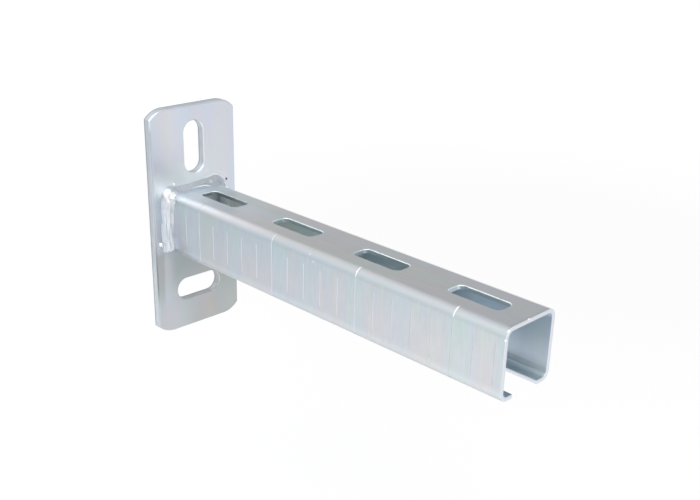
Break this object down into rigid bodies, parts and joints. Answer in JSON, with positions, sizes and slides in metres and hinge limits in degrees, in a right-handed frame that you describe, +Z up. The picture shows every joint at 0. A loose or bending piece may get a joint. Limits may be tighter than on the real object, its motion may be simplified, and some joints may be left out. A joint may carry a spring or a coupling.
{
  "type": "cantilever strut arm",
  "caption": "Slotted C-channel bracket arm, open side down, welded square to an oblong wall plate that has an upright and a level fixing slot.",
  "frame": {"origin": "on the back face of the wall plate, at the plate's middle, level with the arm's centre line", "axes": "+X out of the wall along the arm to its tip, +Y across the plate away from the side with the length marks, +Z up"},
  "size_m": [0.2, 0.048, 0.11],
  "materials": {
    "zinc_plated_plate": "electroplated zinc, pale blue passivated, satin",
    "zinc_plated_channel": "electroplated zinc, pale blue passivated, satin, faint rolling streaks",
    "zinc_plated_weld": "zinc plated over a rippled weld face, brighter than the sheet"
  },
  "bodies": {
    "root": {"wall_plate": "zinc_plated_plate", "channel_arm": "zinc_plated_channel", "weld_near": "zinc_plated_weld", "weld_far": "zinc_plated_weld", "weld_top": "zinc_plated_weld"}
  },
  "joints": []
}
